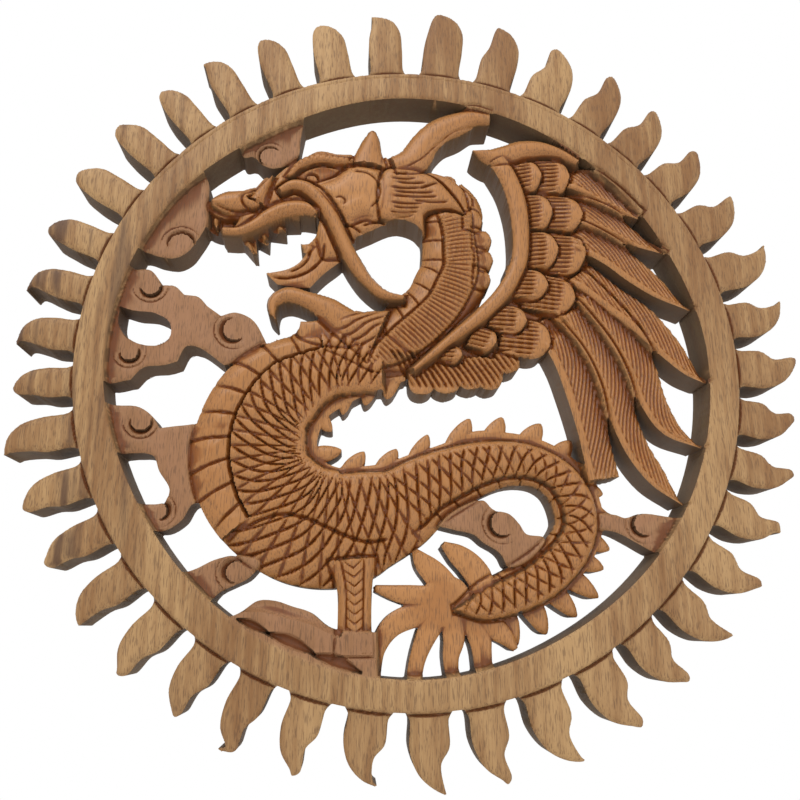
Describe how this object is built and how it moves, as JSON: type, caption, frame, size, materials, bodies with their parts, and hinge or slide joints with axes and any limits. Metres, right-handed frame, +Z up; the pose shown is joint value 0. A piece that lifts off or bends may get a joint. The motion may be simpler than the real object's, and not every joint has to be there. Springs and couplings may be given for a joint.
{
  "type": "carved wooden wall panel",
  "caption": "Round pierced wood carving for the wall: a winged dragon in relief, with cloud scrolls and a rock, inside a ring edged with flame rays.",
  "frame": {"origin": "on the back of the ring at its top centre, where the panel meets the wall", "axes": "+Z up, +X to the viewer's right, +Y into the wall"},
  "size_m": [0.3933, 0.0224, 0.4074],
  "materials": {
    "wood": "oiled and lightly polished"
  },
  "bodies": {
    "root": {"carved_panel": "wood"}
  },
  "joints": []
}
